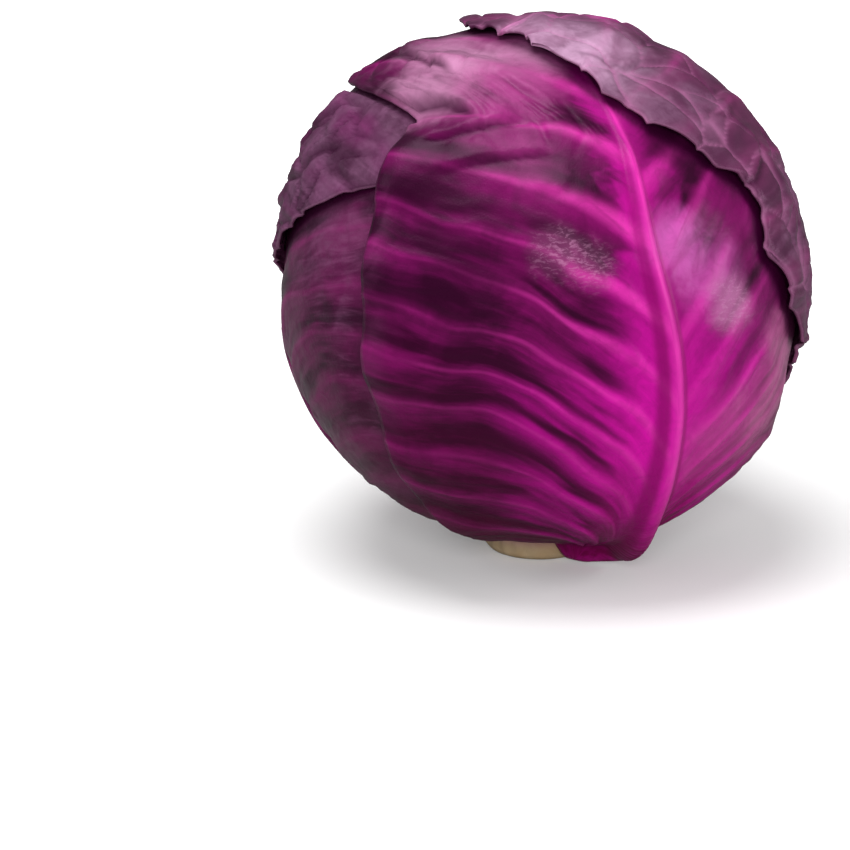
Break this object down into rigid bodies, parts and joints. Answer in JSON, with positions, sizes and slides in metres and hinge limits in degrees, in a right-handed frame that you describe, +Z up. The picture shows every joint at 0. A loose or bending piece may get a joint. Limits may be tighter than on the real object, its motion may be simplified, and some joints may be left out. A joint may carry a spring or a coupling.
{
  "type": "red cabbage",
  "caption": "Whole round red cabbage head: thin overlapping wrapper leaves with stout midribs over a tight inner head, standing on its cut stem.",
  "frame": {"origin": "centre of the cut face of the stem, on which the head stands", "axes": "+Z up through the stem and the middle of the head, -Y towards the viewer of the picture, +X to the viewer's right; the stout midrib of the front leaf stands at 28 degrees from -Y towards +X"},
  "size_m": [0.1653, 0.161, 0.1671],
  "materials": {
    "stem": "cream cut stem flesh, matte and slightly fibrous",
    "inner_leaf": "smooth red-purple leaf with a light wax bloom",
    "wrapper_leaf": "waxy red-purple leaf, magenta along the midrib, grey-mauve bloom towards the margin"
  },
  "bodies": {
    "root": {"stem": "stem", "inner_head": "inner_leaf", "back_leaf": "wrapper_leaf", "left_leaf": "wrapper_leaf", "right_leaf": "wrapper_leaf", "shoulder_leaf": "wrapper_leaf", "front_leaf": "wrapper_leaf", "cap_leaf": "wrapper_leaf"}
  },
  "joints": []
}
